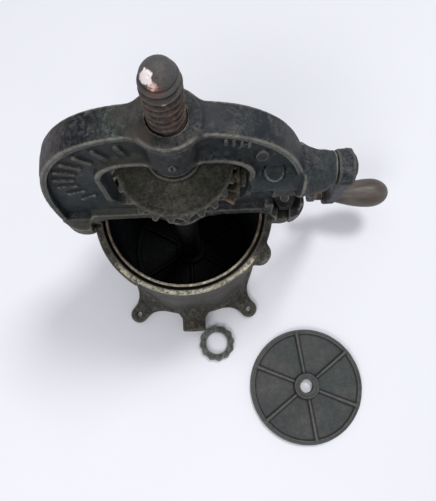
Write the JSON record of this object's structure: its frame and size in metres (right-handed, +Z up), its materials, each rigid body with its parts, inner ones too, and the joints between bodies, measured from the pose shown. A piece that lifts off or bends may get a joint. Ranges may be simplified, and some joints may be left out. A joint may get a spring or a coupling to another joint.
{
  "type": "hand crank sausage stuffer and screw press",
  "caption": "Cast-iron hand crank screw press: footed pot with spout and tin liner, geared yoke, screw and piston, wooden grip, loose ribbed plate and ring nut.",
  "frame": {"origin": "axis of the pot, on the surface that the feet stand on, at the centre of the four bench holes", "axes": "+Z up along the screw; +X along the crank shaft towards the grip; -Y towards the outlet spout"},
  "size_m": [0.3693, 0.3517, 0.43],
  "materials": {
    "pot_iron": "old casting, grey-black with brown patches",
    "tin": "old tinplate, dull with warm patches",
    "steel": "dark worn steel",
    "yoke_iron": "pitted casting with traces of dark japan, worn light on its edges",
    "rusty_steel": "steel with a thin brown rust film",
    "gear_iron": "grainy bare casting",
    "screw_steel": "turned steel, rust brown in the thread",
    "plate_iron": "dark tinned casting, worn light on the ribs",
    "grip_wood": "weathered grey-brown wood"
  },
  "bodies": {
    "base": {"pot": "pot_iron", "tin_liner": "tin", "clamp_bolt": "steel", "clamp_nut": "steel"},
    "frame": {"yoke": "yoke_iron", "thrust_washer": "rusty_steel", "guide_key": "rusty_steel", "oil_plug": "rusty_steel"},
    "gear": {"bevel_gear": "gear_iron"},
    "screw": {"press_screw": "screw_steel", "piston_plate": "plate_iron", "piston_nut": "rusty_steel"},
    "crank": {"crank_shaft": "steel", "pinion": "rusty_steel", "pinion_pin": "steel", "crank_arm": "yoke_iron", "crank_pin": "steel"},
    "grip": {"grip_rod": "steel", "grip_nut": "steel", "grip_collar": "rusty_steel", "wooden_grip": "grip_wood"},
    "plate": {"loose_plate": "plate_iron"},
    "nut": {"ring_nut": "gear_iron"}
  },
  "joints": [
    {"name": "yoke_twist", "type": "hinge", "parent": "base", "child": "frame", "pos_m": [0, 0, 0.2], "axis": [0, 0, 1], "range_deg": [0, 26]},
    {"name": "crank_turn", "type": "hinge", "parent": "frame", "child": "crank", "pos_m": [0.1, 0, 0.283], "axis": [1, 0, 0], "range_deg": [-60, 19200]},
    {"name": "gear_turn", "type": "hinge", "parent": "frame", "child": "gear", "pos_m": [0, 0, 0.283], "axis": [0, 0, 1], "range_deg": [-9600, 30]},
    {"name": "screw_travel", "type": "slide", "parent": "frame", "child": "screw", "axis": [0, 0, 1], "range_m": [-0.001, 0.17]},
    {"name": "grip_spin", "type": "hinge", "parent": "crank", "child": "grip", "pos_m": [0.177, 0.05015, 0.07085], "axis": [1, 0, 0], "continuous": true},
    {"name": "plate_lift", "type": "slide", "parent": "base", "child": "plate", "axis": [0, 0, 1], "range_m": [0, 0.1]},
    {"name": "nut_slide", "type": "slide", "parent": "base", "child": "nut", "axis": [0, -1, 0], "range_m": [0, 0.1]}
  ],
  "couplings": [
    {"joint": "gear_turn", "follows": "crank_turn", "ratio": -0.5},
    {"joint": "screw_travel", "follows": "crank_turn", "m_per_rad": 0.00050532}
  ]
}
